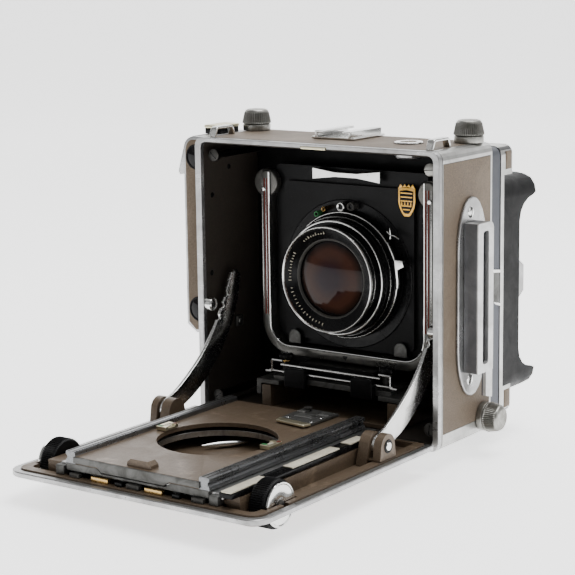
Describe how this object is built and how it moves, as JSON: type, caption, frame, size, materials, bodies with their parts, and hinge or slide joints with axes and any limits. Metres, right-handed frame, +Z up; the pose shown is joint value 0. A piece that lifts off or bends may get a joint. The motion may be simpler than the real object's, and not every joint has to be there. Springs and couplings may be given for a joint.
{
  "type": "folding technical camera",
  "caption": "Folding-bed sheet-film camera, opened: leather-covered metal box, drop bed with sliding focusing track, lens on a U-shaped standard, bowed struts, turning screen back.",
  "frame": {"origin": "centre of the whole footprint, on the surface the camera stands on", "axes": "+Z up, the lens looks along -Y, +X to the right seen from in front of the lens"},
  "size_m": [0.2102, 0.3034, 0.2039],
  "materials": {
    "satin_silver": "satin",
    "bright_chrome": "polished",
    "taupe_leather": "matte",
    "taupe_enamel": "satin",
    "grey_steel": "satin",
    "grey_alloy": "satin",
    "black_enamel": "satin",
    "black_plastic": "matte",
    "dark_grey": "satin",
    "bellows_black": "matte",
    "coated_glass": "gloss",
    "window_glass": "gloss",
    "screen_glass": "matte",
    "brass": "satin"
  },
  "bodies": {
    "camera_body": {"body_shell": "satin_silver", "front_trim": "satin_silver", "top_leather": "taupe_leather", "right_leather": "taupe_leather", "base_plate": "satin_silver", "tripod_bushing": "grey_steel", "rangefinder_housing": "satin_silver", "rangefinder_window_upper": "window_glass", "rangefinder_window_lower": "window_glass", "strap_lug_left": "bright_chrome", "strap_lug_right": "bright_chrome", "accessory_shoe": "bright_chrome", "grip_plate": "satin_silver", "grip_bracket": "satin_silver", "inner_track": "taupe_enamel", "strut_boss_left": "bright_chrome", "strut_boss_right": "bright_chrome", "hinge_pin": "grey_steel", "bellows": "bellows_black"},
    "bed_release": {"bed_release_button": "satin_silver"},
    "top_lock_left": {"top_lock_knob_left": "grey_steel"},
    "top_lock_right": {"top_lock_knob_right": "grey_steel"},
    "side_lock_left": {"side_lock_knob_left": "grey_steel"},
    "side_lock_right": {"side_lock_knob_right": "grey_steel"},
    "bed": {"bed_tray": "taupe_enamel", "bed_rim": "satin_silver", "bed_leather": "taupe_leather", "scale_bar": "black_enamel", "strut_bracket_left": "taupe_enamel", "strut_bracket_right": "taupe_enamel"},
    "strut_left_arm": {"strut_left": "bright_chrome"},
    "strut_right_arm": {"strut_right": "bright_chrome"},
    "focus_drive": {"focus_shaft": "bright_chrome", "focus_knob_left": "black_enamel", "focus_knob_right": "black_enamel"},
    "lower_slide": {"lower_track": "grey_alloy"},
    "upper_slide": {"upper_track": "taupe_enamel", "rangefinder_cam": "satin_silver"},
    "infinity_left": {"infinity_stop_left": "brass"},
    "infinity_right": {"infinity_stop_right": "brass"},
    "standard": {"standard_base": "dark_grey"},
    "grip_left": {"clamp_grip_left": "black_enamel"},
    "grip_right": {"clamp_grip_right": "black_enamel"},
    "standard_lock_left": {"standard_knob_left": "black_enamel"},
    "standard_lock_right": {"standard_knob_right": "black_enamel"},
    "shift_block": {"swing_block": "black_enamel"},
    "front_frame": {"u_frame": "grey_steel"},
    "lens_rise": {"lens_carrier": "black_enamel", "lens_board": "black_enamel", "shutter_housing": "black_enamel", "lens_barrel": "bright_chrome", "front_glass": "coated_glass"},
    "board_lock": {"board_latch": "bright_chrome"},
    "shutter_speed": {"speed_ring": "black_enamel"},
    "shutter_cock": {"cocking_lever": "bright_chrome"},
    "back": {"rear_casing": "dark_grey", "rear_frame": "satin_silver"},
    "turning_back": {"focusing_back": "black_plastic", "ground_glass": "screen_glass"},
    "screen_lock": {"screen_catch": "bright_chrome"}
  },
  "joints": [
    {"name": "bed_fold", "type": "hinge", "parent": "camera_body", "child": "bed", "pos_m": [0.00235, 0.0236, 0.01465], "axis": [1, 0, 0], "range_deg": [-90, 15]},
    {"name": "strut_left_turn", "type": "hinge", "parent": "bed", "child": "strut_left_arm", "pos_m": [0.00235, -0.02025, 0.027], "axis": [1, 0, 0], "range_deg": [-20.4, 121.7]},
    {"name": "strut_right_turn", "type": "hinge", "parent": "bed", "child": "strut_right_arm", "pos_m": [0.00235, -0.02025, 0.027], "axis": [1, 0, 0], "range_deg": [-20.4, 121.7]},
    {"name": "lower_track_slide", "type": "slide", "parent": "bed", "child": "lower_slide", "axis": [0, -1, 0], "range_m": [0, 0.04]},
    {"name": "focus_turn", "type": "hinge", "parent": "bed", "child": "focus_drive", "pos_m": [0.00235, -0.12025, 0.0182], "axis": [1, 0, 0], "range_deg": [0, 640]},
    {"name": "upper_track_slide", "type": "slide", "parent": "lower_slide", "child": "upper_slide", "axis": [0, -1, 0], "range_m": [0, 0.06]},
    {"name": "infinity_left_flip", "type": "hinge", "parent": "upper_slide", "child": "infinity_left", "pos_m": [-0.03855, -0.06875, 0.0309], "axis": [0, -1, 0], "range_deg": [0, 80]},
    {"name": "infinity_right_flip", "type": "hinge", "parent": "upper_slide", "child": "infinity_right", "pos_m": [0.04325, -0.06875, 0.0309], "axis": [0, 1, 0], "range_deg": [0, 80]},
    {"name": "standard_slide", "type": "slide", "parent": "camera_body", "child": "standard", "axis": [0, -1, 0], "range_m": [0, 0.09], "deforming": ["bellows"]},
    {"name": "grip_left_squeeze", "type": "slide", "parent": "standard", "child": "grip_left", "axis": [1, 0, 0], "range_m": [0, 0.004], "stiffness_N_per_m": 300},
    {"name": "grip_right_squeeze", "type": "slide", "parent": "standard", "child": "grip_right", "axis": [-1, 0, 0], "range_m": [0, 0.004], "stiffness_N_per_m": 300},
    {"name": "standard_knob_left_turn", "type": "hinge", "parent": "standard", "child": "standard_lock_left", "pos_m": [-0.03525, 0.05175, 0.042], "axis": [0, 0, 1], "range_deg": [0, 270]},
    {"name": "standard_knob_right_turn", "type": "hinge", "parent": "standard", "child": "standard_lock_right", "pos_m": [0.03995, 0.05175, 0.042], "axis": [0, 0, 1], "range_deg": [0, 270]},
    {"name": "front_shift", "type": "slide", "parent": "standard", "child": "shift_block", "axis": [1, 0, 0], "range_m": [-0.006, 0.006]},
    {"name": "front_swing", "type": "hinge", "parent": "shift_block", "child": "front_frame", "pos_m": [0.00235, 0.06775, 0.048], "axis": [0, 0, 1], "range_deg": [-7, 7], "deforming": ["bellows"]},
    {"name": "front_rise", "type": "slide", "parent": "front_frame", "child": "lens_rise", "axis": [0, 0, 1], "range_m": [0, 0.01]},
    {"name": "board_latch_slide", "type": "slide", "parent": "lens_rise", "child": "board_lock", "axis": [0, 0, 1], "range_m": [0, 0.004]},
    {"name": "speed_ring_turn", "type": "hinge", "parent": "lens_rise", "child": "shutter_speed", "pos_m": [0.00235, 0.05175, 0.105], "axis": [0, 1, 0], "range_deg": [-60, 60]},
    {"name": "shutter_cocking", "type": "hinge", "parent": "lens_rise", "child": "shutter_cock", "pos_m": [0.00235, 0.05875, 0.105], "axis": [0, 1, 0], "range_deg": [0, 60], "stiffness_Nm_per_rad": 0.02},
    {"name": "bed_release_press", "type": "slide", "parent": "camera_body", "child": "bed_release", "axis": [0, 0, -1], "range_m": [0, 0.0013], "stiffness_N_per_m": 500},
    {"name": "top_lock_left_turn", "type": "hinge", "parent": "camera_body", "child": "top_lock_left", "pos_m": [-0.07615, 0.07995, 0.192], "axis": [0, 0, 1], "range_deg": [0, 270]},
    {"name": "top_lock_right_turn", "type": "hinge", "parent": "camera_body", "child": "top_lock_right", "pos_m": [0.08085, 0.07995, 0.192], "axis": [0, 0, 1], "range_deg": [0, 270]},
    {"name": "side_lock_left_turn", "type": "hinge", "parent": "camera_body", "child": "side_lock_left", "pos_m": [-0.08765, 0.07975, 0.0236], "axis": [1, 0, 0], "range_deg": [0, 270]},
    {"name": "side_lock_right_turn", "type": "hinge", "parent": "camera_body", "child": "side_lock_right", "pos_m": [0.09235, 0.07975, 0.0236], "axis": [1, 0, 0], "range_deg": [0, 270]},
    {"name": "back_slide", "type": "slide", "parent": "camera_body", "child": "back", "axis": [0, 1, 0], "range_m": [0, 0.015]},
    {"name": "back_revolve", "type": "hinge", "parent": "back", "child": "turning_back", "pos_m": [0.00235, 0.11275, 0.1022], "axis": [0, 1, 0], "range_deg": [0, 90]},
    {"name": "screen_catch_slide", "type": "slide", "parent": "turning_back", "child": "screen_lock", "axis": [-1, 0, 0], "range_m": [0, 0.004], "stiffness_N_per_m": 400}
  ],
  "couplings": [
    {"joint": "strut_left_turn", "follows": "bed_fold", "ratio": -1.35},
    {"joint": "strut_right_turn", "follows": "bed_fold", "ratio": -1.35},
    {"joint": "focus_turn", "follows": "lower_track_slide", "rad_per_m": 277.78}
  ]
}
